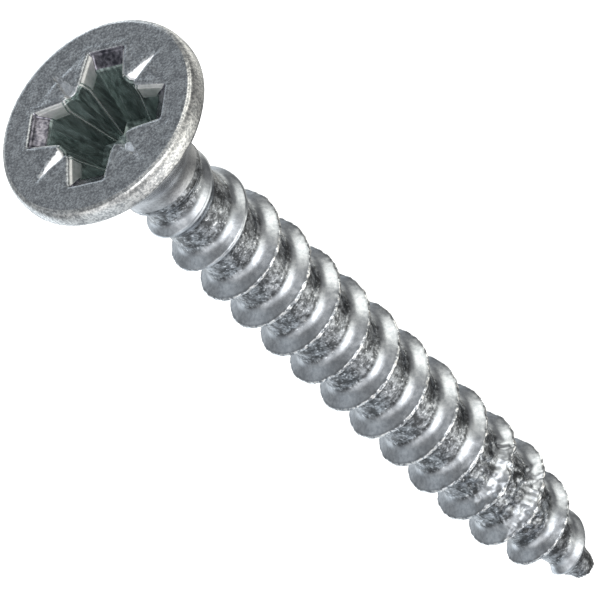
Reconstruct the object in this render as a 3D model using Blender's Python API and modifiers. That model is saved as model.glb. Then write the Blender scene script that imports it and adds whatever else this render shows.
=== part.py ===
"""Countersunk wood screw with a type Z cross recess and a thread that runs up to the head.

The screw is one solid piece of steel. The origin is on its axis, in the plane of the flat head face.
+Z points out of the head, and the point is straight down. The recess wings lie along X and Y.
"""

import math

import bmesh
import bpy

MM = 0.001

# Whole screw
LENGTH = 31.0 * MM
ROUND_STEPS = 64

# Head: a flat face, a rounded rim, a short upright land and a 90 degree countersink
HEAD_RADIUS = 3.8 * MM
FACE_RADIUS = 3.55 * MM
RIM_DROP = 0.44 * MM
LAND_DEPTH = 0.74 * MM
RIM_ARC_STEPS = 4
NECK_RADIUS = 1.5 * MM
CONE_DEPTH = LAND_DEPTH + HEAD_RADIUS - NECK_RADIUS
NECK_FILLET = 0.75 * MM
FILLET_STEPS = 5
NECK_END = 4.1 * MM
NECK_FOOT = 0.7 * MM

# Thread: single start, right hand
PITCH = 1.877 * MM
CREST_RADIUS = 1.85 * MM
ROOT_RADIUS = 1.3 * MM
CREST_FLAT = 0.17 * MM
FLANK_WIDTH = 0.26 * MM
FILLET_WIDTH = 0.26 * MM
FILLET_RISE = 0.16
THREAD_STEPS = 32
THREAD_TURNS = 16
THREAD_TOP = 2.75 * MM
CREST_AT_X_AXIS = 2.94 * MM
RUN_OUT = 5.0 * MM

# Point
POINT_LENGTH = 5.35 * MM
POINT_CURVE = 0.8
POINT_THREAD_SHARE = 1.6
TIP_RADIUS = 0.28 * MM
TIP_ROUNDING = 0.22 * MM

# Recess: a square core, four wings with a shallow lead-in, and four marks between the wings
RECESS_DEPTH = 2.35 * MM
PIT_DEPTH = 2.6 * MM
CUT_ABOVE = 0.3 * MM
CORE_FLAT_TOP = 1.45 * MM
CORE_FLAT_BOTTOM = 0.92 * MM
WING_TOP_RADIUS = 2.75 * MM
WING_STEP_RADIUS = 2.18 * MM
WING_STEP_DEPTH = 0.38 * MM
WING_BOTTOM_RADIUS = 1.3 * MM
WING_END_WIDTH = 1.18 * MM
WING_BOTTOM_WIDTH = 1.0 * MM
WING_SPREAD = 0.32
MARK_INNER_RADIUS = 1.2 * MM
MARK_OUTER_RADIUS = 2.95 * MM
MARK_WIDTH = 0.5 * MM
MARK_DEPTH = 0.2 * MM
MARK_TIP_SHARE = 0.08
WING_COUNT = 4


def clear_scene():
    """Remove every object that the new scene starts with."""
    for obj in list(bpy.data.objects):
        bpy.data.objects.remove(obj, do_unlink=True)


def new_collection(name):
    collection = bpy.data.collections.new(name)
    bpy.context.scene.collection.children.link(collection)
    return collection


def add_object(name, mesh, collection):
    obj = bpy.data.objects.new(name, mesh)
    collection.objects.link(obj)
    return obj


def make_helper(obj):
    """Keep a cutter or a guide out of the finished part."""
    obj.hide_render = True
    obj.display_type = "WIRE"


def zinc_material():
    """Bright zinc plating on steel."""
    material = bpy.data.materials.new("bright_zinc")
    material.use_nodes = True
    shader = material.node_tree.nodes["Principled BSDF"]
    shader.inputs["Base Color"].default_value = (0.62, 0.64, 0.67, 1.0)
    shader.inputs["Metallic"].default_value = 1.0
    shader.inputs["Roughness"].default_value = 0.28
    return material


def profile_mesh(name, points):
    """An open outline in the XZ plane, from (radius, height) pairs."""
    mesh = bpy.data.meshes.new(name)
    edges = [(i, i + 1) for i in range(len(points) - 1)]
    mesh.from_pydata([(radius, 0.0, height) for radius, height in points], edges, [])
    return mesh


def add_screw(obj, steps, turns=1, rise=0.0):
    """Turn an outline round Z, and raise it by rise in each turn."""
    screw = obj.modifiers.new("turn", "SCREW")
    screw.axis = "Z"
    screw.steps = steps
    screw.render_steps = steps
    screw.iterations = turns
    screw.screw_offset = rise
    screw.use_merge_vertices = True
    screw.merge_threshold = 0.000001
    return screw


def finished_mesh(obj):
    """The object's mesh with its modifiers applied."""
    graph = bpy.context.evaluated_depsgraph_get()
    return bpy.data.meshes.new_from_object(obj.evaluated_get(graph))


def blank_profile():
    """The head and neck outline, from the axis across the face and down the outer side."""
    points = [(0.0, 0.0)]
    for i in range(RIM_ARC_STEPS + 1):
        angle = math.radians(90.0 * i / RIM_ARC_STEPS)
        radius = FACE_RADIUS + (HEAD_RADIUS - FACE_RADIUS) * math.sin(angle)
        points.append((radius, -RIM_DROP * (1.0 - math.cos(angle))))
    points.append((HEAD_RADIUS, -LAND_DEPTH))
    for i in range(FILLET_STEPS + 1):
        t = i / FILLET_STEPS
        radius = NECK_RADIUS + NECK_FILLET * (1.0 - t) ** 2
        points.append((radius, -CONE_DEPTH + NECK_FILLET * ((1.0 - t) ** 2 - t**2)))
    points.append((NECK_RADIUS, -NECK_END))
    points.append((ROOT_RADIUS * 0.9, -NECK_END - NECK_FOOT))
    points.append((0.0, -NECK_END - NECK_FOOT))
    return points


def thread_profile():
    """One pitch of thread, from a crest's middle down to the next, as (rise, drop) pairs. Rise 1 is the crest."""
    half_crest = CREST_FLAT / 2
    flank_end = half_crest + FLANK_WIDTH
    fillet_end = flank_end + FILLET_WIDTH
    lower_side = [(1.0, half_crest), (FILLET_RISE, flank_end), (0.0, fillet_end)]
    upper_side = [(rise, PITCH - drop) for rise, drop in reversed(lower_side)]
    return lower_side + upper_side + [(1.0, PITCH + half_crest)]


def core_radius(height):
    """Radius at the bottom of the thread groove, which tapers to the point."""
    share = min(max((height + LENGTH) / POINT_LENGTH, 0.0), 1.0) ** POINT_CURVE
    rounding = min(max((height + LENGTH) / TIP_ROUNDING, 0.0), 1.0) ** 0.5
    return (TIP_RADIUS + (ROOT_RADIUS - TIP_RADIUS) * share) * rounding


def thread_height(height):
    """Height of the crest above the root: it grows below the neck and fades into the point."""
    below_top = min(max((-CREST_AT_X_AXIS - height) / RUN_OUT, 0.0), 1.0)
    above_tip = min(max((height + LENGTH) / POINT_LENGTH, 0.0), 1.0) ** POINT_CURVE
    return (CREST_RADIUS - ROOT_RADIUS) * below_top * min(above_tip * POINT_THREAD_SHARE, 1.0)


def build_thread(collection):
    """The threaded shank as one closed helical surface, cut level at both ends."""
    start = -CREST_AT_X_AXIS - (THREAD_TURNS - 1) * PITCH
    # A rise of 0 to 1 is stored as a radius of 1 to 2, and is given its true radius below.
    outline = [(1.0 + rise, start - drop) for rise, drop in thread_profile()]
    guide = add_object("thread_guide", profile_mesh("thread_guide", outline), collection)
    add_screw(guide, THREAD_STEPS, THREAD_TURNS, PITCH)
    mesh = finished_mesh(guide)
    bpy.data.objects.remove(guide, do_unlink=True)
    shape = bmesh.new()
    shape.from_mesh(mesh)
    for vertex in shape.verts:
        stored = math.hypot(vertex.co.x, vertex.co.y)
        vertex.co.z = min(max(vertex.co.z, -LENGTH), -THREAD_TOP)
        radius = core_radius(vertex.co.z) + (stored - 1.0) * thread_height(vertex.co.z)
        vertex.co.x *= radius / stored
        vertex.co.y *= radius / stored
    bmesh.ops.remove_doubles(shape, verts=shape.verts, dist=0.0000005)
    bmesh.ops.dissolve_degenerate(shape, edges=shape.edges, dist=0.0000005)
    rim = [edge for edge in shape.edges if edge.is_boundary]
    bmesh.ops.holes_fill(shape, edges=rim, sides=0)
    bmesh.ops.recalc_face_normals(shape, faces=shape.faces)
    shape.to_mesh(mesh)
    shape.free()
    thread = add_object("thread", mesh, collection)
    make_helper(thread)
    return thread


def loft(name, sections, turn, collection):
    """A closed cutter through sections of equal point counts, turned about Z."""
    shape = bmesh.new()
    rings = [[shape.verts.new(point) for point in section] for section in sections]
    for lower, upper in zip(rings, rings[1:]):
        for i in range(len(lower)):
            j = (i + 1) % len(lower)
            shape.faces.new((lower[i], lower[j], upper[j], upper[i]))
    shape.faces.new(rings[0])
    shape.faces.new(rings[-1])
    bmesh.ops.recalc_face_normals(shape, faces=shape.faces)
    mesh = bpy.data.meshes.new(name)
    shape.to_mesh(mesh)
    shape.free()
    cutter = add_object(name, mesh, collection)
    cutter.rotation_euler.z = turn
    make_helper(cutter)
    return cutter


def core_section(flat, height):
    """A square whose flats face between the wings: flat is the distance from the axis to a flat."""
    corner = flat * math.sqrt(2.0)
    return [(corner, 0.0, height), (0.0, corner, height), (-corner, 0.0, height), (0.0, -corner, height)]


def build_core(collection):
    slope = (CORE_FLAT_TOP - CORE_FLAT_BOTTOM) / RECESS_DEPTH
    sections = [
        core_section(CORE_FLAT_TOP + slope * CUT_ABOVE, CUT_ABOVE),
        core_section(CORE_FLAT_BOTTOM, -RECESS_DEPTH),
        core_section(CORE_FLAT_BOTTOM * 0.2, -PIT_DEPTH),
    ]
    loft("recess_core", sections, 0.0, collection)


def wing_section(radius, end_width, height):
    """A wing seen from above: it widens from its outer end towards the axis."""
    outer = end_width / 2
    inner = outer + radius * WING_SPREAD / 2
    return [(0.0, -inner, height), (radius, -outer, height), (radius, outer, height), (0.0, inner, height)]


def build_wing(index, collection):
    lead_slope = (WING_TOP_RADIUS - WING_STEP_RADIUS) / WING_STEP_DEPTH
    sections = [
        wing_section(WING_TOP_RADIUS + lead_slope * CUT_ABOVE, WING_END_WIDTH, CUT_ABOVE),
        wing_section(WING_STEP_RADIUS, WING_END_WIDTH, -WING_STEP_DEPTH),
        wing_section(WING_BOTTOM_RADIUS, WING_BOTTOM_WIDTH, -RECESS_DEPTH),
    ]
    loft(f"recess_wing_{index + 1}", sections, index * math.tau / WING_COUNT, collection)


def mark_section(radius, share):
    """A V across the radius, open above the face, at this share of its full size."""
    half = MARK_WIDTH / 2 * share
    depth = MARK_DEPTH * share
    above = CUT_ABOVE / 2 * share
    spread = half * (depth + above) / depth
    return [(radius, -spread, above), (radius, 0.0, -depth), (radius, spread, above)]


def build_mark(index, collection):
    """One of the four pressed marks that tell a type Z recess from a type H one."""
    sections = [mark_section(MARK_INNER_RADIUS, 1.0), mark_section(MARK_OUTER_RADIUS, MARK_TIP_SHARE)]
    turn = (index + 0.5) * math.tau / WING_COUNT
    loft(f"recess_mark_{index + 1}", sections, turn, collection)


def build_recess(collection):
    build_core(collection)
    for index in range(WING_COUNT):
        build_wing(index, collection)
        build_mark(index, collection)


def build_screw(parts, helpers, cutters):
    """Join the thread to the turned blank, cut the recess, and keep the result as the one part."""
    blank = add_object("blank", profile_mesh("blank", blank_profile()), helpers)
    add_screw(blank, ROUND_STEPS)
    make_helper(blank)
    join = blank.modifiers.new("join_thread", "BOOLEAN")
    join.operation = "UNION"
    join.object = build_thread(helpers)
    build_recess(cutters)
    cut = blank.modifiers.new("cut_recess", "BOOLEAN")
    cut.operation = "DIFFERENCE"
    cut.operand_type = "COLLECTION"
    cut.collection = cutters
    bpy.context.view_layer.update()
    mesh = finished_mesh(blank)
    mesh.name = "wood_screw"
    mesh.materials.clear()
    mesh.materials.append(zinc_material())
    mesh.shade_smooth()
    mesh.set_sharp_from_angle(angle=math.radians(32.0))
    return add_object("wood_screw", mesh, parts)


def main():
    clear_scene()
    parts = new_collection("wood_screw")
    helpers = new_collection("helpers")
    cutters = new_collection("recess_cutters")
    build_screw(parts, helpers, cutters)


main()
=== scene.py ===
"""Finished look of a zinc-plated countersunk wood screw with a type Z cross recess.

The head and its recess are modelled ring by ring, and the threaded shank by a Geometry Nodes tree. The two
are welded into one closed skin, as the real screw is one piece of steel. All sizes are in metres.
"""

import logging
import math
from dataclasses import dataclass, field
from enum import Enum

import bmesh
import bpy
from mathutils import Matrix, Vector, noise


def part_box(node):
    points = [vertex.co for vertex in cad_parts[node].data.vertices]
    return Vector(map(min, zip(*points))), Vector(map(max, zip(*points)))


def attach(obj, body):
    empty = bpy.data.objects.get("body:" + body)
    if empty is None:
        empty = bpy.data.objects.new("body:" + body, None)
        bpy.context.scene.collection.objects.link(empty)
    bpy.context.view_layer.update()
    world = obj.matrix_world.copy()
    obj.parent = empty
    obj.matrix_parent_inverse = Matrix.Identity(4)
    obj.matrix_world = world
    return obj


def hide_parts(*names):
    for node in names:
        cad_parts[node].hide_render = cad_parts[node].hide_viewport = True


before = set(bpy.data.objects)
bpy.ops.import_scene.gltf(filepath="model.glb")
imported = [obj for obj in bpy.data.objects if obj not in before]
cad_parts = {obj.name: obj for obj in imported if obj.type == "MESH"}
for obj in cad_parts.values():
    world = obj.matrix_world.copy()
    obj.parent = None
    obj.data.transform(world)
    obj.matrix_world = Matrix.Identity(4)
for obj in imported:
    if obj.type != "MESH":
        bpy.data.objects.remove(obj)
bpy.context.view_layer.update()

MM = 0.001
CAD_NODE = "wood_screw"
WELD_DISTANCE = 0.001 * MM

# What a node's input takes: a link from another socket, or a plain value.
Feed = bpy.types.NodeSocket | float | tuple[float, ...] | Vector

log = logging.getLogger("wood_screw")


class Zone(Enum):
    """The stretches of the screw's skin that have a finish of their own."""

    SHANK = 0
    FACE = 1
    RECESS = 2
    RIM = 3
    NECK = 4
    LEAD = 5
    MARK = 6
    RUBBED_AND_HIGHLIGHT = 7


class Stretch(Enum):
    """The stretches of the recess outline, from a wing's end to the flat between two wings."""

    END = 0
    SIDE = 1
    EDGE = 2
    FLAT = 3


def smooth_step(low: float, high: float, value: float) -> float:
    """Rise smoothly from 0 at low to 1 at high.

    Args:
        low: Where the rise starts.
        high: Where the rise ends.
        value: The place to read.

    Returns:
        A share from 0 to 1.
    """
    t = min(max((value - low) / (high - low), 0.0), 1.0)
    return t * t * (3.0 - 2.0 * t)


def mix(first: float, second: float, share: float) -> float:
    """Return the value at this share of the way from first to second."""
    return first + (second - first) * share


class NodeWriter:
    """Adds nodes to a tree and plugs them together, a line for each step."""

    def __init__(self, tree: bpy.types.NodeTree) -> None:
        """Take the tree to write in."""
        self.tree = tree
        self.count = 0

    def add(self, kind: str, inputs: dict | None = None, **settings) -> bpy.types.Node:
        """Add a node.

        Args:
            kind: The node's type name.
            inputs: Values or sockets for its inputs, by name or number.
            settings: Values for the node's own properties.

        Returns:
            The new node.
        """
        node = self.tree.nodes.new(kind)
        node.location = (180.0 * (self.count % 12), -220.0 * (self.count // 12))
        self.count += 1
        for name, value in settings.items():
            setattr(node, name, value)
        for key, value in (inputs or {}).items():
            self.plug(node.inputs[key], value)
        return node

    def plug(self, socket: bpy.types.NodeSocket, value: Feed) -> None:
        """Link a socket to an input, or give the input a plain value."""
        if isinstance(value, bpy.types.NodeSocket):
            self.tree.links.new(value, socket)
        else:
            socket.default_value = value

    def math(self, operation: str, *values: Feed, clamp: bool = False) -> bpy.types.NodeSocket:
        """Add a Math node.

        Args:
            operation: The node's operation.
            values: Up to three numbers or sockets.
            clamp: Whether the result stays within 0 to 1.

        Returns:
            The result's socket.
        """
        node = self.add("ShaderNodeMath", dict(enumerate(values)), operation=operation, use_clamp=clamp)
        return node.outputs[0]

    def vector(self, operation: str, first: Feed, second: Feed) -> bpy.types.NodeSocket:
        """Add a Vector Math node on two vectors, and return the result's socket."""
        return self.add("ShaderNodeVectorMath", {0: first, 1: second}, operation=operation).outputs[0]

    def ramp(
        self, value: Feed, low: float, high: float, start: float = 0.0, end: float = 1.0
    ) -> bpy.types.NodeSocket:
        """Map a value smoothly from the range low to high onto the range start to end."""
        inputs = {"Value": value, "From Min": low, "From Max": high, "To Min": start, "To Max": end}
        return self.add("ShaderNodeMapRange", inputs, interpolation_type="SMOOTHSTEP").outputs[0]

    def blend(self, share: Feed, first: Feed, second: Feed) -> bpy.types.NodeSocket:
        """Mix two colours by a share, and return the colour's socket."""
        node = self.add("ShaderNodeMix", data_type="RGBA")
        self.plug(node.inputs[0], share)
        self.plug(node.inputs[6], first)
        self.plug(node.inputs[7], second)
        return node.outputs[2]


@dataclass(frozen=True)
class ZincFinish:
    """Bright zinc plating, with the grain that one zone of the screw shows."""

    name: str
    zone: Zone
    bright: tuple[float, float, float]
    dark: tuple[float, float, float]
    roughness: float
    rough_patches: float
    grain: float
    grain_contrast: float
    relief: float
    relief_depth: float = 0.02 * MM
    metallic: float = 1.0
    drawn_out: float = 1.0

    def build(self) -> bpy.types.Material:
        """Build the material.

        Returns:
            A metal whose colour, roughness and relief follow two scales of grain.
        """
        material = bpy.data.materials.new(self.name)
        material.use_nodes = True
        nodes = NodeWriter(material.node_tree)
        shader = material.node_tree.nodes["Principled BSDF"]
        place = nodes.add("ShaderNodeTexCoord").outputs["Object"]
        place = nodes.vector("MULTIPLY", place, (1.0, 1.0, 1.0 / self.drawn_out))
        coarse = self.noise(nodes, place, self.grain * 4.0, 2.0)
        fine = self.noise(nodes, place, self.grain, 3.0)
        share = nodes.math("MULTIPLY_ADD", fine, 0.65, nodes.math("MULTIPLY", coarse, 0.35))
        share = nodes.ramp(share, 0.5 - self.grain_contrast, 0.5 + self.grain_contrast)
        colour = nodes.blend(share, (*self.dark, 1.0), (*self.bright, 1.0))
        rough = nodes.math("MULTIPLY_ADD", coarse, self.rough_patches, self.roughness)
        height = nodes.math("MULTIPLY_ADD", fine, 0.7, nodes.math("MULTIPLY", coarse, 0.6))
        bump = nodes.add("ShaderNodeBump", {"Distance": self.relief_depth, "Height": height})
        nodes.plug(bump.inputs["Strength"], self.relief_strength(nodes))
        nodes.plug(shader.inputs["Base Color"], self.shaded(nodes, colour, fine))
        nodes.plug(shader.inputs["Roughness"], rough)
        nodes.plug(shader.inputs["Normal"], bump.outputs[0])
        shader.inputs["Metallic"].default_value = self.metallic
        return material

    def noise(self, nodes: NodeWriter, place: Feed, size: float, detail: float) -> bpy.types.NodeSocket:
        """Return a noise whose spots are about this size."""
        inputs = {"Vector": place, "Scale": 1.0 / size, "Detail": detail, "Roughness": 0.6}
        return nodes.add("ShaderNodeTexNoise", inputs).outputs[0]

    def relief_strength(self, nodes: NodeWriter) -> Feed:
        """Return how strongly the grain stands out, as a number or a socket."""
        return self.relief

    def shaded(self, nodes: NodeWriter, colour: Feed, fine: Feed) -> Feed:
        """Return the colour with the zone's own shading added."""
        return colour


@dataclass(frozen=True)
class ThreadFinish(ZincFinish):
    """Plating on the thread: pitted in the root and darkened there by speckles that are partly dark
    residue and partly painted shade, clean on the flank, and nicked on the crest, with a painted shade
    band under the crest and a painted highlight on it.
    """

    root_dark: float = 0.16
    root_light: float = 0.85
    # Factor of the painted shade band on the flank just under the crest.
    painted_shade_under_crest: float = 0.7
    crest_dark: float = 0.9
    # Brightest level of the crest: nicks with a painted highlight.
    painted_crest_highlight: float = 1.7
    root_relief: float = 0.25
    crest_relief: float = 0.6
    patch_size: float = 0.3 * MM
    grit_size: float = 0.09 * MM

    def relief_strength(self, nodes: NodeWriter) -> Feed:
        """Stand the grain out in the root and on the crest, and leave the flank smooth."""
        rise = nodes.add("ShaderNodeAttribute", attribute_name="rise").outputs["Fac"]
        low = nodes.ramp(rise, 0.0, 0.2, self.root_relief, self.relief)
        top = nodes.ramp(rise, 0.85, 1.0, 0.0, self.crest_relief)
        return nodes.math("ADD", low, top)

    def shaded(self, nodes: NodeWriter, colour: Feed, fine: Feed) -> Feed:
        """Speckle the root with dark residue and painted shade, darken a band under the crest with painted
        shade, and brighten the nicked crest with a painted highlight.
        """
        rise = nodes.add("ShaderNodeAttribute", attribute_name="rise").outputs["Fac"]
        place = nodes.add("ShaderNodeTexCoord").outputs["Object"]
        patches = self.noise(nodes, place, self.patch_size, 5.0)
        gritty = self.noise(nodes, place, self.grit_size, 3.0)
        specks_and_shade = nodes.math("MULTIPLY_ADD", patches, 0.6, nodes.math("MULTIPLY", gritty, 0.4))
        # The root's speckles darken it as a whole: partly dark residue, partly painted shade in the hollow
        # between the turns.
        specks_and_shade = nodes.ramp(specks_and_shade, 0.41, 0.63, self.root_dark, self.root_light)
        in_root = nodes.ramp(rise, 0.02, 0.18, 1.0, 0.0)
        shade = nodes.math("MULTIPLY_ADD", in_root, nodes.math("SUBTRACT", specks_and_shade, 1.0), 1.0)
        sparks = nodes.math("MULTIPLY", nodes.ramp(gritty, 0.62, 0.7, 0.0, 1.0), in_root)
        shade = nodes.math("ADD", shade, sparks)
        # Painted shade: a darker band on the flank just under the crest.
        shade = nodes.math("MULTIPLY", shade, nodes.ramp(rise, 0.8, 0.93, 1.0, self.painted_shade_under_crest))
        # Nicks on the crest, darker and lighter by the fine grain, with a painted highlight that brightens
        # the crest as a whole.
        nicked = nodes.ramp(fine, 0.43, 0.53, self.crest_dark, self.painted_crest_highlight / self.painted_shade_under_crest)
        on_crest = nodes.ramp(rise, 0.93, 0.98)
        crest = nodes.math("MULTIPLY_ADD", on_crest, nodes.math("SUBTRACT", nicked, 1.0), 1.0)
        shade = nodes.math("MULTIPLY", shade, crest)
        grey = nodes.add("ShaderNodeCombineColor", {0: shade, 1: shade, 2: shade}).outputs[0]
        product = nodes.add("ShaderNodeMix", data_type="RGBA", blend_type="MULTIPLY")
        product.inputs[0].default_value = 1.0
        nodes.plug(product.inputs[6], colour)
        nodes.plug(product.inputs[7], grey)
        return product.outputs[2]


@dataclass(frozen=True)
class RecessSection:
    """The recess outline at one depth: four wings and, between them, four flats."""

    height: float
    wing_radius: float
    wing_half: float
    spread: float
    flat: float
    corner: float

    def grown(self, by: float, height: float) -> "RecessSection":
        """Return this outline moved outwards, at another height."""
        return RecessSection(
            height, self.wing_radius + by, self.wing_half + by, self.spread, self.flat + by, self.corner
        )

    def towards(self, other: "RecessSection", share: float) -> "RecessSection":
        """Return the outline at this share of the way to another."""
        return RecessSection(
            mix(self.height, other.height, share),
            mix(self.wing_radius, other.wing_radius, share),
            mix(self.wing_half, other.wing_half, share),
            mix(self.spread, other.spread, share),
            mix(self.flat, other.flat, share),
            mix(self.corner, other.corner, share),
        )


@dataclass
class CrossRecess:
    """The type Z recess: walls, shallow lead-in at each wing's end, pressed marks and a conical floor."""

    floor: RecessSection = RecessSection(-2.38 * MM, 1.25 * MM, 0.5 * MM, 0.1, 0.93 * MM, 0.07 * MM)
    step: RecessSection = RecessSection(-0.4 * MM, 2.16 * MM, 0.58 * MM, 0.15, 1.47 * MM, 0.09 * MM)
    mouth: RecessSection = RecessSection(-0.13 * MM, 2.55 * MM, 0.6 * MM, 0.15, 1.53 * MM, 0.09 * MM)
    pit_rings: tuple[tuple[float, float], ...] = ((0.12, 2.62 * MM), (0.6, 2.5 * MM), (0.93, 2.4 * MM))
    rubbed_and_highlight_depth: float = 0.52 * MM
    mark_inner: float = 1.4 * MM
    mark_outer: float = 3.1 * MM
    mark_half: float = 0.3 * MM
    mark_depth: float = 0.3 * MM
    groove_half: float = 0.13 * MM
    groove_depth: float = 0.1 * MM
    pad_radius: float = 2.48 * MM
    pad_height: float = 0.03 * MM
    wall_rings: int = 18
    lead_rings: int = 6
    end_samples: int = 3
    corner_samples: int = 3
    side_samples: int = 6
    flat_samples: int = 7

    def octant(self, section: RecessSection) -> list[tuple[float, float]]:
        """Place the outline's points from a wing's middle to the middle of the next flat.

        Args:
            section: The outline to follow.

        Returns:
            Points in the plane, with both corners rounded.
        """
        wing = section.wing_radius
        half = section.wing_half
        reach = section.flat * math.sqrt(2.0)
        corner_x = (reach - half - wing * section.spread) / (1.0 - section.spread)
        end = Vector((wing, 0.0))
        outer = Vector((wing, half))
        inner = Vector((corner_x, reach - corner_x))
        middle = Vector((reach / 2, reach / 2))
        points = self.line(end, outer, self.end_samples, 0.0, section.corner)
        points += self.arc(end, outer, inner, section.corner)
        points += self.line(outer, inner, self.side_samples, section.corner, section.corner)
        points += self.arc(outer, inner, middle, section.corner)
        points += self.line(inner, middle, self.flat_samples, section.corner, 0.0)
        return [(point.x, point.y) for point in points]

    def line(self, start: Vector, stop: Vector, count: int, skip: float, leave: float) -> list[Vector]:
        """Points along a straight stretch, without its last one, short of the corners' rounding."""
        along = (stop - start).normalized()
        first = start + along * skip
        last = stop - along * leave
        return [first.lerp(last, i / count) for i in range(count)]

    def arc(self, before: Vector, corner: Vector, after: Vector, size: float) -> list[Vector]:
        """Points round a corner, without the last one."""
        first = corner + (before - corner).normalized() * size
        last = corner + (after - corner).normalized() * size
        points = []
        for i in range(self.corner_samples):
            t = i / self.corner_samples
            points.append(first * (1 - t) ** 2 + corner * 2 * t * (1 - t) + last * t**2)
        return points

    def around(self, section: RecessSection) -> list[tuple[float, float]]:
        """The whole outline, turned and mirrored from one octant."""
        octant = self.octant(section)
        middle = section.flat / math.sqrt(2.0)
        quadrant = octant + [(middle, middle)] + [(y, x) for x, y in reversed(octant[1:])]
        quadrant = [self.creased(x, y) for x, y in quadrant]
        points = []
        for c, s in ((1, 0), (0, 1), (-1, 0), (0, -1)):
            points += [(c * x - s * y, s * x + c * y) for x, y in quadrant]
        return points

    def creased(self, x: float, y: float) -> tuple[float, float]:
        """Push the middle of a flat outwards, into the narrow groove that runs down it."""
        push = self.groove_depth * max(0.0, 1.0 - abs(x - y) / math.sqrt(2.0) / self.groove_half)
        return x + push / math.sqrt(2.0), y + push / math.sqrt(2.0)

    def stretch(self, number: int) -> Stretch:
        """Say which stretch of the outline a face of a ring lies on.

        Args:
            number: The face's number in its ring.

        Returns:
            The wing's end, its side, the rounded edge of the core, or the flat.
        """
        outer = self.end_samples + self.corner_samples
        inner = outer + self.side_samples
        quadrant = 2 * (inner + self.corner_samples + self.flat_samples)
        folded = min(number % quadrant, quadrant - 1 - number % quadrant)
        if folded < outer:
            return Stretch.END
        if folded < inner:
            return Stretch.SIDE
        return Stretch.EDGE if folded == inner + 1 else Stretch.FLAT

    def sections(self) -> list[RecessSection]:
        """Every outline from the floor to the outer side of the lip, lowest first."""
        walls = [self.floor.towards(self.step, i / self.wall_rings) for i in range(self.wall_rings)]
        walls += [self.step.towards(self.mouth, i / self.lead_rings) for i in range(self.lead_rings)]
        lip = (
            (0.0, 0.0),
            (0.012, 0.025),
            (0.035, 0.04),
            (0.06, 0.045),
            (0.075, 0.06),
            (0.085, 0.09),
            (0.1, 0.115),
            (0.13, 0.135),
            (0.17, 0.145),
            (0.22, 0.142),
            (0.28, 0.135),
            (0.34, 0.13),
        )
        base = self.mouth.height
        return walls + [self.mouth.grown(out * MM, base + up * MM) for out, up in lip]

    def face_height(self, x: float, y: float) -> float:
        """Height of the pressed marks and the raised pads over the flat face.

        Args:
            x: Place across the head.
            y: Place across the head.

        Returns:
            The height to add there.
        """
        radius = math.hypot(x, y)
        pad = 1.0 - smooth_step(self.pad_radius - 0.04 * MM, self.pad_radius + 0.04 * MM, radius)
        between = smooth_step(0.18, 0.4, min(abs(x), abs(y)) / max(radius, 1e-9))
        return self.pad_height * pad * between - self.mark_depth * self.mark_share(x, y)

    def mark_share(self, x: float, y: float) -> float:
        """Share of the marks' full depth that is pressed in at a place, from 0 to 1."""
        diagonal = (abs(x) + abs(y)) / math.sqrt(2.0)
        off_diagonal = abs(abs(x) - abs(y)) / math.sqrt(2.0)
        share = 1.0 - (diagonal - self.mark_inner) / (self.mark_outer - self.mark_inner)
        share = min(max(share, 0.0), 1.0)
        groove = max(0.0, 1.0 - off_diagonal / max(self.mark_half * share, 1e-9))
        return share * groove


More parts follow.
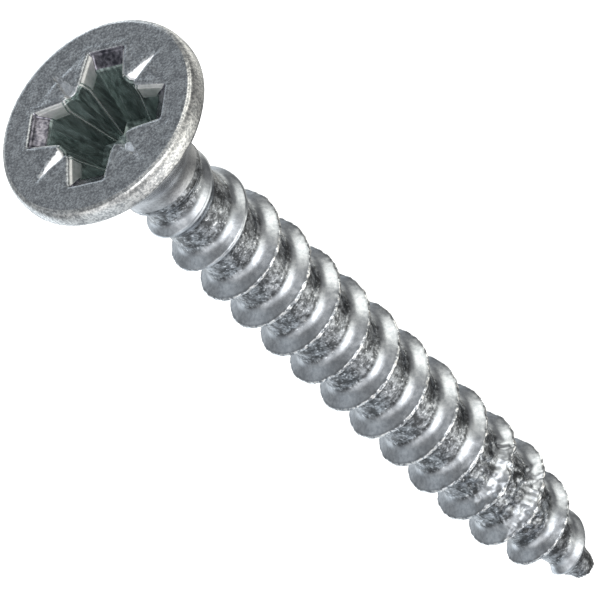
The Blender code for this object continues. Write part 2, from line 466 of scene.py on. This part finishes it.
@dataclass
class Head:
    """The countersunk head: flat face, rounded rim, upright land, cone and neck."""

    radius: float
    recess: CrossRecess = field(default_factory=CrossRecess)
    face_radius: float = 3.57 * MM
    edge_width: float = 0.05 * MM
    edge_drop: float = 0.035 * MM
    rim_drop: float = 0.44 * MM
    land_softness: float = 0.05 * MM
    land_depth: float = 0.74 * MM
    neck_radius: float = 1.5 * MM
    neck_fillet: float = 0.75 * MM
    neck_join: float = 3.85 * MM
    face_rings: int = 28
    rim_rings: int = 9
    cone_rings: int = 10
    fillet_rings: int = 10
    unevenness: float = 0.012 * MM
    wave_size: float = 1.1 * MM

    def cone_depth(self) -> float:
        """Depth at which the cone would meet the neck without a fillet."""
        return self.land_depth + self.radius - self.neck_radius

    def side_profile(self) -> list[tuple[float, float, Zone]]:
        """The outline from the face's edge down to the neck, as radius, height and zone."""
        rim_start = self.face_radius + self.edge_width
        points = [(self.face_radius, 0.0, Zone.FACE)]
        points.append((self.face_radius + 0.4 * self.edge_width, -0.3 * self.edge_drop, Zone.FACE))
        for i in range(self.rim_rings + 1):
            angle = math.radians(90.0 * i / self.rim_rings)
            radius = rim_start + (self.radius - rim_start) * math.sin(angle)
            height = -self.edge_drop - (self.rim_drop - self.edge_drop) * (1.0 - math.cos(angle))
            points.append((radius, height, Zone.RIM))
        soft = self.land_softness
        points.append((self.radius, -self.land_depth + 2 * soft, Zone.RIM))
        points.append((self.radius - 0.2 * soft, -self.land_depth + 0.4 * soft, Zone.RIM))
        points.append((self.radius - soft, -self.land_depth - 0.7 * soft, Zone.RIM))
        cone_top = Vector((self.radius - 3 * soft, -self.land_depth - 3 * soft))
        cone_foot = Vector((self.neck_radius + self.neck_fillet, -self.cone_depth() + self.neck_fillet))
        for i in range(self.cone_rings):
            point = cone_top.lerp(cone_foot, i / self.cone_rings)
            points.append((point.x, point.y, Zone.NECK))
        for i in range(self.fillet_rings + 1):
            t = i / self.fillet_rings
            radius = self.neck_radius + self.neck_fillet * (1.0 - t) ** 2
            height = -self.cone_depth() + self.neck_fillet * ((1.0 - t) ** 2 - t**2)
            points.append((radius, height, Zone.NECK))
        points.append((self.neck_radius, -self.neck_join, Zone.NECK))
        return points

    def uneven(self, x: float, y: float) -> float:
        """Height of the slight waves that cold heading leaves in the face."""
        return noise.noise(Vector((x, y, 0.0)) / self.wave_size) * self.unevenness

    def rings(self) -> list[tuple[list[Vector], Zone]]:
        """Every ring of the head from the recess floor to the neck, with its zone."""
        recess = self.recess
        rings = []
        floor_points = recess.around(recess.floor)
        for share, depth in recess.pit_rings:
            rings.append(([Vector((x * share, y * share, -depth)) for x, y in floor_points], Zone.RECESS))
        for section in recess.sections():
            outline = recess.around(section)
            near_face = smooth_step(-0.5 * MM, -0.05 * MM, section.height)
            ring = []
            for x, y in outline:
                ring.append(Vector((x, y, section.height + near_face * recess.face_height(x, y))))
            rings.append((ring, Zone.RECESS if section.height < -0.02 * MM else Zone.FACE))
        count = len(outline)
        turn = [math.tau * i / count for i in range(count)]
        for i in range(1, self.face_rings):
            share = i / self.face_rings
            ring = []
            for (x, y), angle in zip(outline, turn):
                px = mix(x, self.face_radius * math.cos(angle), share)
                py = mix(y, self.face_radius * math.sin(angle), share)
                flat = smooth_step(0.0, 0.25, share) * (1.0 - smooth_step(0.9, 1.0, share))
                ring.append(Vector((px, py, recess.face_height(px, py) + flat * self.uneven(px, py))))
            rings.append((ring, Zone.FACE))
        for radius, height, zone in self.side_profile():
            ring = [Vector((radius * math.cos(angle), radius * math.sin(angle), height)) for angle in turn]
            rings.append((ring, zone))
        return rings

    def detail(self, zone: Zone, place: Vector, number: int) -> Zone:
        """Pick out the smaller parts that have a finish of their own within a zone.

        Args:
            zone: The zone the place is in.
            place: The middle of a face.
            number: The face's number in its ring.

        Returns:
            The marks, the lead-ins, the rubbed tops of the wing sides and edges of the core with a painted
            highlight, or the zone.
        """
        recess = self.recess
        # The pressed marks get a near-white finish: a painted highlight.
        if zone is Zone.FACE and recess.mark_share(place.x, place.y) > 0.08:
            return Zone.MARK
        if zone is not Zone.RECESS or place.z < recess.floor.height:
            return zone
        stretch = recess.stretch(number)
        # The lead-ins get a much darker finish: painted shade.
        if stretch is Stretch.END and place.z > recess.step.height:
            return Zone.LEAD
        # The tops of the wing sides and the core's edges get a white finish: partly rubbed wear, partly
        # painted highlight.
        rubbed_and_highlit_side = stretch is Stretch.SIDE and place.z > -recess.rubbed_and_highlight_depth
        if stretch is Stretch.EDGE or rubbed_and_highlit_side:
            return Zone.RUBBED_AND_HIGHLIGHT
        return zone

    def build(self, shape: bmesh.types.BMesh) -> None:
        """Add the head, open at the end of the neck, with each face's zone as its material number.

        Args:
            shape: The mesh to add to.
        """
        previous = None
        for ring, zone in self.rings():
            current = [shape.verts.new(point) for point in ring]
            if previous is None:
                shape.faces.new(current).material_index = zone.value
            else:
                for i in range(len(current)):
                    j = (i + 1) % len(current)
                    face = shape.faces.new((previous[i], current[i], current[j], previous[j]))
                    face.material_index = self.detail(zone, face.calc_center_median(), i).value
            previous = current


@dataclass
class ThreadedShank:
    """The right-hand thread from the neck to the point, written as one Geometry Nodes tree."""

    length: float
    steps: int
    pitch: float = 1.877 * MM
    crest_radius: float = 1.855 * MM
    root_radius: float = 1.3 * MM
    crest_half: float = 0.05 * MM
    crease_drop: float = 0.263 * MM
    crease_rise: float = 0.36
    fillet_end: float = 0.57 * MM
    fillet_power: float = 1.6
    profile_steps: int = 30
    crowding: float = 0.6
    turns: int = 16
    crest_at_x: float = 2.94 * MM
    run_out: float = 5.0 * MM
    neck_radius: float = 1.5 * MM
    neck_join: float = 3.85 * MM
    neck_end: float = 4.1 * MM
    neck_foot: float = 0.7 * MM
    point_length: float = 5.35 * MM
    point_curve: float = 0.8
    tip_radius: float = 0.28 * MM
    tip_rounding: float = 0.22 * MM
    neck_blend: float = 0.08 * MM
    crest_rounding: float = 0.06
    root_pits: float = 0.03 * MM
    pit_size: float = 0.3 * MM
    crest_wear: float = 0.13 * MM
    nick_size: float = 0.22 * MM
    bruise_depth: float = 0.55 * MM
    dent_size: float = 0.42 * MM
    bruise_top: float = 21.3 * MM
    bruise_foot: float = 27.3 * MM
    bruise_turn: float = math.radians(-32.0)
    bruise_width: float = math.radians(62.0)
    seed: int = 7

    def inputs(self) -> dict[str, float]:
        """The tree's named inputs and their values."""
        return {
            "Pitch": self.pitch,
            "Length": self.length,
            "Crest Radius": self.crest_radius,
            "Root Radius": self.root_radius,
            "Crest Half Width": self.crest_half,
            "Crease Drop": self.crease_drop,
            "Crease Rise": self.crease_rise,
            "Fillet End": self.fillet_end,
            "Run Out": self.run_out,
            "Point Length": self.point_length,
            "Tip Radius": self.tip_radius,
            "Root Pits": self.root_pits,
            "Crest Wear": self.crest_wear,
            "Bruise Depth": self.bruise_depth,
            "Seed": float(self.seed),
        }

    def build_tree(self, material: bpy.types.Material) -> bpy.types.NodeTree:
        """Write the tree that sweeps the thread form down the shank.

        Args:
            material: The thread's finish.

        Returns:
            The tree, with named inputs for the sizes.
        """
        tree = bpy.data.node_groups.new("threaded_shank", "GeometryNodeTree")
        tree.interface.new_socket("Geometry", in_out="OUTPUT", socket_type="NodeSocketGeometry")
        tree.interface.new_socket("Geometry", in_out="INPUT", socket_type="NodeSocketGeometry")
        for name in self.inputs():
            tree.interface.new_socket(name, in_out="INPUT", socket_type="NodeSocketFloat")
        nodes = NodeWriter(tree)
        given = nodes.add("NodeGroupInput").outputs
        across, around = self.profile_steps + 1, self.turns * self.steps + 1
        sheet = nodes.add("GeometryNodeMeshGrid", {"Vertices X": around, "Vertices Y": across})
        place = nodes.add("ShaderNodeSeparateXYZ", {0: nodes.add("GeometryNodeInputPosition").outputs[0]})
        turned = nodes.math("MULTIPLY", nodes.math("ADD", place.outputs[0], 0.5), float(self.turns))
        down = self.crowded(nodes, nodes.math("ADD", place.outputs[1], 0.5))
        height = self.height(nodes, given, turned, down)
        radius, rise = self.radius(nodes, given, height, self.form(nodes, given, down))
        angle = nodes.math("MULTIPLY", turned, math.tau)
        x = nodes.math("COSINE", angle)
        y = nodes.math("SINE", angle)
        level = nodes.add("ShaderNodeCombineXYZ", {0: x, 1: y, 2: 0.0}).outputs[0]
        radius = self.worn(nodes, given, level, radius, height, rise)
        spot = nodes.add(
            "ShaderNodeCombineXYZ",
            {0: nodes.math("MULTIPLY", x, radius), 1: nodes.math("MULTIPLY", y, radius), 2: height},
        )
        stored = {"Geometry": sheet.outputs[0], "Name": "rise", "Value": rise}
        mesh = nodes.add("GeometryNodeStoreNamedAttribute", stored).outputs[0]
        placed = {"Geometry": mesh, "Position": spot.outputs[0]}
        mesh = nodes.add("GeometryNodeSetPosition", placed).outputs[0]
        welded = {"Geometry": mesh, "Distance": WELD_DISTANCE}
        mesh = nodes.add("GeometryNodeMergeByDistance", welded).outputs[0]
        whole = nodes.add("GeometryNodeRealizeInstances", {"Geometry": mesh}).outputs[0]
        dressed = nodes.add("GeometryNodeSetMaterial", {"Geometry": whole, "Material": material})
        nodes.add("NodeGroupOutput", {0: dressed.outputs[0]})
        return tree

    def crowded(self, nodes: NodeWriter, share: Feed) -> bpy.types.NodeSocket:
        """Draw the profile's points together at the crest, where the form is sharp."""
        wave = nodes.math("SINE", nodes.math("MULTIPLY", share, math.tau))
        return nodes.math("MULTIPLY_ADD", wave, -self.crowding / math.tau, share)

    def form(self, nodes: NodeWriter, given: bpy.types.NodeOutputs, down: Feed) -> bpy.types.NodeSocket:
        """Height of the thread form: a narrow crest, straight flanks, a crease and a hollow fillet.

        Args:
            nodes: The tree's writer.
            given: The tree's inputs.
            down: The place in the pitch, from 0 at one crest to 1 at the next.

        Returns:
            The height, from 0 at the root to 1 at the crest.
        """
        beyond = nodes.math("SUBTRACT", 1.0, down)
        away = nodes.math("MULTIPLY", nodes.math("MINIMUM", down, beyond), given["Pitch"])
        flank_width = nodes.math("SUBTRACT", given["Crease Drop"], given["Crest Half Width"])
        along = nodes.math("SUBTRACT", away, given["Crest Half Width"])
        along = nodes.math("DIVIDE", along, flank_width)
        fall = nodes.math("SUBTRACT", 1.0, given["Crease Rise"])
        flank = nodes.math("SUBTRACT", 1.0, nodes.math("MULTIPLY", along, fall))
        flank = nodes.math("SMOOTH_MIN", flank, 1.0, self.crest_rounding)
        hollow_width = nodes.math("SUBTRACT", given["Fillet End"], given["Crease Drop"])
        left = nodes.math("SUBTRACT", given["Fillet End"], away)
        left = nodes.math("DIVIDE", left, hollow_width, clamp=True)
        hollow = nodes.math("MULTIPLY", nodes.math("POWER", left, self.fillet_power), given["Crease Rise"])
        on_hollow = nodes.math("GREATER_THAN", away, given["Crease Drop"])
        difference = nodes.math("SUBTRACT", hollow, flank)
        return nodes.math("MULTIPLY_ADD", on_hollow, difference, flank)

    def height(
        self, nodes: NodeWriter, given: bpy.types.NodeOutputs, turned: Feed, down: Feed
    ) -> bpy.types.NodeSocket:
        """Height of each point: it climbs a pitch a turn, and is held at the neck and at the tip."""
        lowest_crest = -self.crest_at_x - (self.turns - 1) * self.pitch
        climbed = nodes.math("SUBTRACT", turned, down)
        free = nodes.math("MULTIPLY_ADD", climbed, given["Pitch"], lowest_crest)
        above_tip = nodes.math("MAXIMUM", free, nodes.math("MULTIPLY", given["Length"], -1.0))
        return nodes.math("MINIMUM", above_tip, -self.neck_join)

    def radius(
        self, nodes: NodeWriter, given: bpy.types.NodeOutputs, height: Feed, profile: Feed
    ) -> tuple[bpy.types.NodeSocket, bpy.types.NodeSocket]:
        """Radius at each point, with the neck, the thread's run-out and the taper to the tip.

        Args:
            nodes: The tree's writer.
            given: The tree's inputs.
            height: The point's height.
            profile: The thread form's height there, from 0 at the root to 1 at the crest.

        Returns:
            The radius, and the height of the thread form that is left there, from 0 to 1.
        """
        above_tip = nodes.math("ADD", height, given["Length"])
        share = nodes.math("DIVIDE", above_tip, given["Point Length"], clamp=True)
        share = nodes.math("POWER", share, self.point_curve)
        rounding = nodes.math("DIVIDE", above_tip, self.tip_rounding, clamp=True)
        rounding = nodes.math("POWER", rounding, 0.5)
        body = nodes.math("SUBTRACT", given["Root Radius"], given["Tip Radius"])
        core = nodes.math("MULTIPLY_ADD", share, body, given["Tip Radius"])
        core = nodes.math("MULTIPLY", core, rounding)
        below_start = nodes.math("SUBTRACT", -self.crest_at_x, height)
        grown = nodes.math("DIVIDE", below_start, given["Run Out"], clamp=True)
        faded = nodes.math("MULTIPLY", share, 1.6, clamp=True)
        left = nodes.math("MULTIPLY", profile, nodes.math("MULTIPLY", grown, faded))
        full = nodes.math("SUBTRACT", given["Crest Radius"], given["Root Radius"])
        threaded = nodes.math("MULTIPLY_ADD", left, full, core)
        slope = (self.neck_radius - 0.8 * self.root_radius) / self.neck_foot
        neck = nodes.math("MULTIPLY_ADD", height, slope, self.neck_radius + slope * self.neck_end)
        neck = nodes.math("MINIMUM", neck, self.neck_radius)
        return nodes.math("SMOOTH_MAX", threaded, neck, self.neck_blend), left

    def wear_noise(
        self, nodes: NodeWriter, given: bpy.types.NodeOutputs, spot: Feed, size: float, detail: float
    ) -> bpy.types.NodeSocket:
        """Return a seeded noise whose spots are about this size."""
        inputs = {"Vector": spot, "W": given["Seed"], "Scale": 1.0 / size, "Detail": detail}
        return nodes.add("ShaderNodeTexNoise", inputs, noise_dimensions="4D").outputs[0]

    def worn(
        self,
        nodes: NodeWriter,
        given: bpy.types.NodeOutputs,
        level: Feed,
        radius: Feed,
        height: Feed,
        rise: Feed,
    ) -> bpy.types.NodeSocket:
        """Wear the thread: pits in the root, nicks in the crest, and bruises where it was struck.

        Args:
            nodes: The tree's writer.
            given: The tree's inputs.
            level: The point's direction from the axis.
            radius: The clean thread's radius there.
            height: The point's height.
            rise: The height of the thread form there, from 0 to 1.

        Returns:
            The worn radius, which meets the clean one at the neck and at the tip.
        """
        spot = nodes.add("ShaderNodeVectorMath", {0: level, "Scale": radius}, operation="SCALE").outputs[0]
        lift = nodes.add("ShaderNodeCombineXYZ", {0: 0.0, 1: 0.0, 2: height}).outputs[0]
        spot = nodes.vector("ADD", spot, lift)
        pitted = self.wear_noise(nodes, given, spot, self.pit_size, 1.0)
        nicked = self.wear_noise(nodes, given, spot, self.nick_size, 3.0)
        dented = self.wear_noise(nodes, given, spot, self.dent_size, 3.0)
        in_root = nodes.ramp(rise, 0.0, 0.2, 1.0, 0.0)
        on_crest = nodes.ramp(rise, 0.6, 1.0, 0.0, 1.0)
        pit = nodes.math("MULTIPLY", nodes.math("SUBTRACT", pitted, 0.5), given["Root Pits"])
        pit = nodes.math("MULTIPLY", pit, in_root)
        nick = nodes.math("MULTIPLY", nodes.math("SUBTRACT", nicked, 0.5), given["Crest Wear"])
        nick = nodes.math("MULTIPLY", nick, on_crest)
        lower = nodes.math("MULTIPLY_ADD", rise, -0.25, nodes.math("SUBTRACT", dented, 0.42))
        dent = nodes.math("MULTIPLY", lower, self.bruise(nodes, level, height))
        dent = nodes.math("MULTIPLY", dent, given["Bruise Depth"])
        wear = nodes.math("ADD", nodes.math("ADD", pit, nick), dent)
        below_neck = nodes.ramp(height, -self.neck_end - self.neck_foot, -self.neck_join, 1.0, 0.0)
        above_tip = nodes.ramp(height, -self.length, self.tip_rounding - self.length)
        free = nodes.math("MULTIPLY", below_neck, above_tip)
        return nodes.math("MULTIPLY_ADD", wear, free, radius)

    def bruise(self, nodes: NodeWriter, level: Feed, height: Feed) -> bpy.types.NodeSocket:
        """How badly the thread is bruised: most on one side near the point, and at the tip."""
        middle = (math.cos(self.bruise_turn), math.sin(self.bruise_turn), 0.0)
        facing = nodes.add("ShaderNodeVectorMath", {0: level, 1: middle}, operation="DOT_PRODUCT")
        edge = math.cos(self.bruise_width)
        beside = nodes.ramp(facing.outputs["Value"], edge, mix(edge, 1.0, 0.6))
        below = nodes.ramp(height, -self.bruise_top, -self.bruise_top - 1.2 * MM)
        above = nodes.ramp(height, -self.bruise_foot, -self.bruise_foot + 1.0 * MM)
        patch = nodes.math("MULTIPLY", beside, nodes.math("MULTIPLY", below, above))
        point = nodes.ramp(height, 1.5 * MM - self.length, 0.6 * MM - self.length, 0.0, 0.7)
        return nodes.math("MAXIMUM", patch, point)

    def build(self, material: bpy.types.Material) -> bpy.types.Mesh:
        """Run the tree.

        Args:
            material: The thread's finish.

        Returns:
            The shank as a plain mesh, open at the neck.
        """
        guide = bpy.data.objects.new("shank_guide", bpy.data.meshes.new("shank_guide"))
        bpy.context.scene.collection.objects.link(guide)
        modifier = guide.modifiers.new("threaded_shank", "NODES")
        modifier.node_group = self.build_tree(material)
        sizes = self.inputs()
        for item in modifier.node_group.interface.items_tree:
            if item.in_out == "INPUT" and item.name in sizes:
                modifier[item.identifier] = sizes[item.name]
        graph = bpy.context.evaluated_depsgraph_get()
        mesh = bpy.data.meshes.new_from_object(guide.evaluated_get(graph))
        bpy.data.objects.remove(guide, do_unlink=True)
        return mesh


@dataclass
class WoodScrew:
    """The whole screw, standing on its point with its head face in the plane of the origin."""

    head: Head
    shank: ThreadedShank
    finishes: tuple[ZincFinish, ...]
    name: str = "zinc_plated_screw"
    sharp_angle: float = math.radians(44.0)

    def build(self) -> bpy.types.Object:
        """Build the screw.

        Returns:
            The finished piece, one closed skin.
        """
        materials = {finish.zone: finish.build() for finish in self.finishes}
        mesh = self.shank.build(materials[Zone.SHANK])
        mesh.materials.clear()
        for zone in Zone:
            mesh.materials.append(materials[zone])
        shape = bmesh.new()
        shape.from_mesh(mesh)
        self.head.build(shape)
        bmesh.ops.remove_doubles(shape, verts=shape.verts, dist=WELD_DISTANCE)
        bmesh.ops.dissolve_degenerate(shape, edges=shape.edges, dist=0.5 * WELD_DISTANCE)
        bmesh.ops.triangulate(shape, faces=[face for face in shape.faces if len(face.verts) > 4])
        bmesh.ops.recalc_face_normals(shape, faces=shape.faces)
        open_edges = sum(1 for edge in shape.edges if not edge.is_manifold)
        triangles = sum(len(face.verts) - 2 for face in shape.faces)
        shape.to_mesh(mesh)
        shape.free()
        mesh.name = self.name
        mesh.shade_smooth()
        mesh.set_sharp_from_angle(angle=self.sharp_angle)
        screw = bpy.data.objects.new(self.name, mesh)
        bpy.context.scene.collection.objects.link(screw)
        log.info("%s: %d triangles, %d open edges", screw.name, triangles, open_edges)
        return screw


@dataclass(frozen=True)
class SoftPanel:
    """A soft light far away, brightest in its middle."""

    name: str
    towards: tuple[float, float, float]
    level: float
    tightness: float
    colour: tuple[float, float, float] = (1.0, 1.0, 1.0)

    def write(self, nodes: NodeWriter, ray: Feed) -> bpy.types.NodeSocket:
        """Write the panel's light along a ray.

        Args:
            nodes: The world's writer.
            ray: The ray's direction.

        Returns:
            The light's colour.
        """
        middle = Vector(self.towards).normalized()
        facing = nodes.add("ShaderNodeVectorMath", {0: ray, 1: middle}, operation="DOT_PRODUCT")
        fall = nodes.math("MULTIPLY_ADD", facing.outputs["Value"], self.tightness, -self.tightness)
        glow = nodes.math("MULTIPLY", nodes.math("EXPONENT", fall), self.level)
        light = nodes.add("ShaderNodeVectorMath", {0: self.colour, "Scale": glow}, operation="SCALE")
        light.label = self.name
        return light.outputs[0]


COOL = (0.88, 0.95, 1.0)
WARM = (1.0, 0.99, 0.92)


@dataclass
class Studio:
    """Pale floor, soft panels all round and a long lens."""

    floor_height: float
    fill: float = 0.14
    panels: tuple[SoftPanel, ...] = (
        SoftPanel("key", (0.45, -0.6, 0.65), 2.1, 14.0),
        SoftPanel("right", (0.85, -0.35, 0.4), 1.0, 12.0, WARM),
        SoftPanel("high_right", (0.4, 0.5, 0.75), 1.6, 16.0, WARM),
        SoftPanel("top", (-0.2, 0.1, 0.95), 0.45, 14.0, COOL),
        SoftPanel("high_left", (-0.85, -0.3, 0.4), 0.35, 10.0, COOL),
        SoftPanel("left", (-0.25, -0.95, 0.15), 0.9, 11.0),
        SoftPanel("low_front", (0.6, -0.6, -0.5), 1.0, 10.0),
        SoftPanel("low_right", (0.85, -0.1, -0.5), 1.1, 10.0, WARM),
        SoftPanel("low_left", (-0.3, -0.75, -0.55), 0.7, 11.0, COOL),
        SoftPanel("under", (-0.4, 0.0, -0.9), 0.7, 14.0, COOL),
        SoftPanel("back_left", (-0.85, 0.1, -0.55), 1.1, 14.0, COOL),
        SoftPanel("back", (-0.6, 0.8, 0.1), 1.2, 12.0, COOL),
        SoftPanel("low_back", (0.05, 0.9, -0.45), 0.8, 12.0, WARM),
    )
    tilt: float = math.radians(47.11)
    turn: float = math.radians(45.0)
    roll: float = math.radians(42.86)
    distance: float = 760 * MM
    view_width: float = 19.83 * MM
    aim_right: float = 6.744 * MM
    aim_down: float = 6.095 * MM
    sensor: float = 36.0

    def towards_camera(self) -> Vector:
        """The direction from the head face to the camera."""
        level = math.sin(self.tilt)
        return Vector((level * math.sin(self.turn), -level * math.cos(self.turn), math.cos(self.tilt)))

    def add_camera(self) -> None:
        """Add the camera, rolled so that the screw lies from corner to corner."""
        back = self.towards_camera()
        beside = Vector((math.cos(self.turn), math.sin(self.turn), 0.0))
        along = beside.cross(back)
        right = along * math.cos(self.roll) + beside * math.sin(self.roll)
        up = beside * math.cos(self.roll) - along * math.sin(self.roll)
        place = back * self.distance
        target = right * self.aim_right - up * self.aim_down
        facing = (place - target).normalized()
        right = up.cross(facing).normalized()
        up = facing.cross(right)
        data = bpy.data.cameras.new("camera")
        data.sensor_width = self.sensor
        data.lens = self.sensor * self.distance / self.view_width
        data.clip_start = 10 * MM
        camera = bpy.data.objects.new("camera", data)
        turned = Matrix((right, up, facing)).transposed().to_4x4()
        camera.matrix_world = Matrix.Translation(place) @ turned
        bpy.context.scene.collection.objects.link(camera)
        bpy.context.scene.camera = camera

    def add_floor(self) -> None:
        """Add a wide pale floor just under the point."""
        bpy.ops.mesh.primitive_plane_add(size=4.0, location=(0.0, 0.0, self.floor_height))
        floor = bpy.context.object
        floor.name = "floor"
        material = bpy.data.materials.new("pale_floor")
        material.use_nodes = True
        shader = material.node_tree.nodes["Principled BSDF"]
        shader.inputs["Base Color"].default_value = (0.95, 0.95, 0.95, 1.0)
        shader.inputs["Roughness"].default_value = 0.9
        shader.inputs["Emission Color"].default_value = (1.0, 1.0, 1.0, 1.0)
        shader.inputs["Emission Strength"].default_value = 1.0
        floor.data.materials.append(material)
        floor.visible_glossy = False

    def add_world(self) -> None:
        """Surround the screw with soft panels, each fading out from its middle."""
        world = bpy.data.worlds.new("studio")
        bpy.context.scene.world = world
        world.use_nodes = True
        nodes = NodeWriter(world.node_tree)
        ray = nodes.add("ShaderNodeTexCoord").outputs["Object"]
        total = (self.fill, self.fill, self.fill)
        for panel in self.panels:
            total = nodes.vector("ADD", total, panel.write(nodes, ray))
        nodes.plug(world.node_tree.nodes["Background"].inputs["Color"], total)

    def build(self) -> None:
        """Build the whole studio."""
        self.add_camera()
        self.add_floor()
        self.add_world()
        bpy.context.scene.view_settings.view_transform = "Standard"


def finishes() -> tuple[ZincFinish, ...]:
    """The screw's finishes, one for each zone."""
    return (
        ThreadFinish(
            name="zinc_thread",
            zone=Zone.SHANK,
            bright=(0.76, 0.79, 0.83),
            dark=(0.5, 0.53, 0.57),
            roughness=0.07,
            rough_patches=0.2,
            grain=0.14 * MM,
            grain_contrast=0.2,
            relief=0.12,
            relief_depth=0.03 * MM,
        ),
        ZincFinish(
            name="zinc_face",
            zone=Zone.FACE,
            bright=(0.68, 0.71, 0.74),
            dark=(0.32, 0.335, 0.36),
            roughness=0.12,
            rough_patches=0.22,
            grain=0.08 * MM,
            grain_contrast=0.12,
            relief=0.55,
            relief_depth=0.03 * MM,
        ),
        # Recess plating, greener and darker than the rest: partly the recess's own tone, partly painted
        # shade deep in the hollow.
        ZincFinish(
            name="zinc_recess_and_painted_shade",
            zone=Zone.RECESS,
            bright=(0.42, 0.5, 0.49),
            dark=(0.13, 0.165, 0.16),
            roughness=0.1,
            rough_patches=0.05,
            grain=0.13 * MM,
            grain_contrast=0.16,
            relief=0.01,
            metallic=0.75,
            drawn_out=10.0,
        ),
        # Painted shade: the lead-ins at the wings' ends are coloured much darker than the plating.
        ZincFinish(
            name="zinc_lead_in_painted_shade",
            zone=Zone.LEAD,
            bright=(0.34, 0.33, 0.38),
            dark=(0.07, 0.07, 0.09),
            roughness=0.15,
            rough_patches=0.15,
            grain=0.12 * MM,
            grain_contrast=0.15,
            relief=0.2,
        ),
        # Painted highlight: the pressed marks are coloured near-white, brighter than the face.
        ZincFinish(
            name="zinc_marks_painted_highlight",
            zone=Zone.MARK,
            bright=(0.95, 0.96, 0.98),
            dark=(0.7, 0.72, 0.75),
            roughness=0.15,
            rough_patches=0.1,
            grain=0.14 * MM,
            grain_contrast=0.2,
            relief=0.08,
        ),
        # Rubbed wear with a painted highlight: white, rougher plating on the tops of the wing sides and on
        # the core's edges.
        ZincFinish(
            name="zinc_rubbed_and_highlight",
            zone=Zone.RUBBED_AND_HIGHLIGHT,
            bright=(1.0, 1.0, 1.0),
            dark=(0.75, 0.77, 0.76),
            roughness=0.42,
            rough_patches=0.1,
            grain=0.16 * MM,
            grain_contrast=0.2,
            relief=0.08,
        ),
        ZincFinish(
            name="zinc_rim",
            zone=Zone.RIM,
            bright=(0.95, 0.95, 0.94),
            dark=(0.45, 0.46, 0.47),
            roughness=0.1,
            rough_patches=0.2,
            grain=0.09 * MM,
            grain_contrast=0.11,
            relief=0.5,
            relief_depth=0.03 * MM,
        ),
        ZincFinish(
            name="zinc_neck",
            zone=Zone.NECK,
            bright=(0.66, 0.67, 0.69),
            dark=(0.4, 0.41, 0.43),
            roughness=0.12,
            rough_patches=0.2,
            grain=0.11 * MM,
            grain_contrast=0.2,
            relief=0.2,
        ),
    )


def main() -> None:
    """Build the screw and the studio, and attach the screw to the frame."""
    logging.basicConfig(level=logging.INFO)
    low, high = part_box(CAD_NODE)
    head = Head(radius=high[0])
    steps = len(head.recess.around(head.recess.floor))
    shank = ThreadedShank(length=-low[2], steps=steps, neck_join=head.neck_join)
    screw = WoodScrew(head, shank, finishes()).build()
    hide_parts(CAD_NODE)
    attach(screw, "root")
    Studio(floor_height=low[2]).build()


if __name__ == "__main__":
    main()
